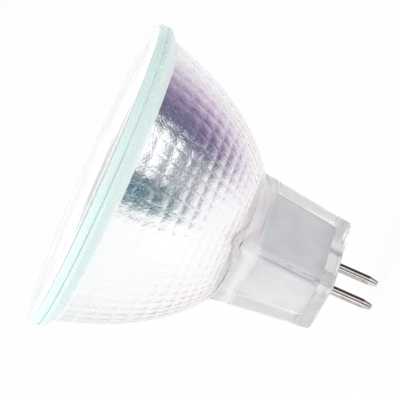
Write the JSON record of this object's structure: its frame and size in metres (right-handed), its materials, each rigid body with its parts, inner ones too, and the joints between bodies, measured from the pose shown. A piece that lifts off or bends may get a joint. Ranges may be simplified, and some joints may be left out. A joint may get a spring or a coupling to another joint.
{
  "type": "halogen reflector lamp",
  "caption": "Halogen reflector lamp: faceted dichroic glass bowl with cover glass, rectangular glass base and straight contact pins, with quartz capsule and coiled filament inside.",
  "frame": {"origin": "midway between the two contact pins, in the end face of the base", "axes": "+Z along the lamp's axis towards the cover glass, with the pins pointing down; +X along the line through the two pins; +Y square to it, towards a broad face of the base"},
  "size_m": [0.05, 0.05, 0.0476],
  "materials": {
    "pressed_glass": "clear pressed glass, slightly green at the rim, with a mirror-like violet film inside the bowl",
    "cover_glass": "clear polished flat glass with a pale green edge",
    "quartz": "clear blown quartz",
    "bond_line": "thin cured silicone line",
    "white_cement": "matt grey-white ceramic potting, finely grained",
    "tungsten": "dark grey drawn wire",
    "lead_wire": "grey drawn wire",
    "seal_foil": "thin grey foil",
    "nickel_pin": "bright nickel plating with fine drawing marks"
  },
  "bodies": {
    "root": {"capsule": "quartz", "cement": "white_cement", "contact_pin_left": "nickel_pin", "contact_pin_right": "nickel_pin", "cover_glass": "cover_glass", "cover_seal": "bond_line", "filament": "tungsten", "filament_support": "lead_wire", "foil_left": "seal_foil", "foil_right": "seal_foil", "lead_in_left": "lead_wire", "lead_in_right": "lead_wire", "outer_lead_left": "lead_wire", "outer_lead_right": "lead_wire", "reflector": "pressed_glass"}
  },
  "joints": []
}
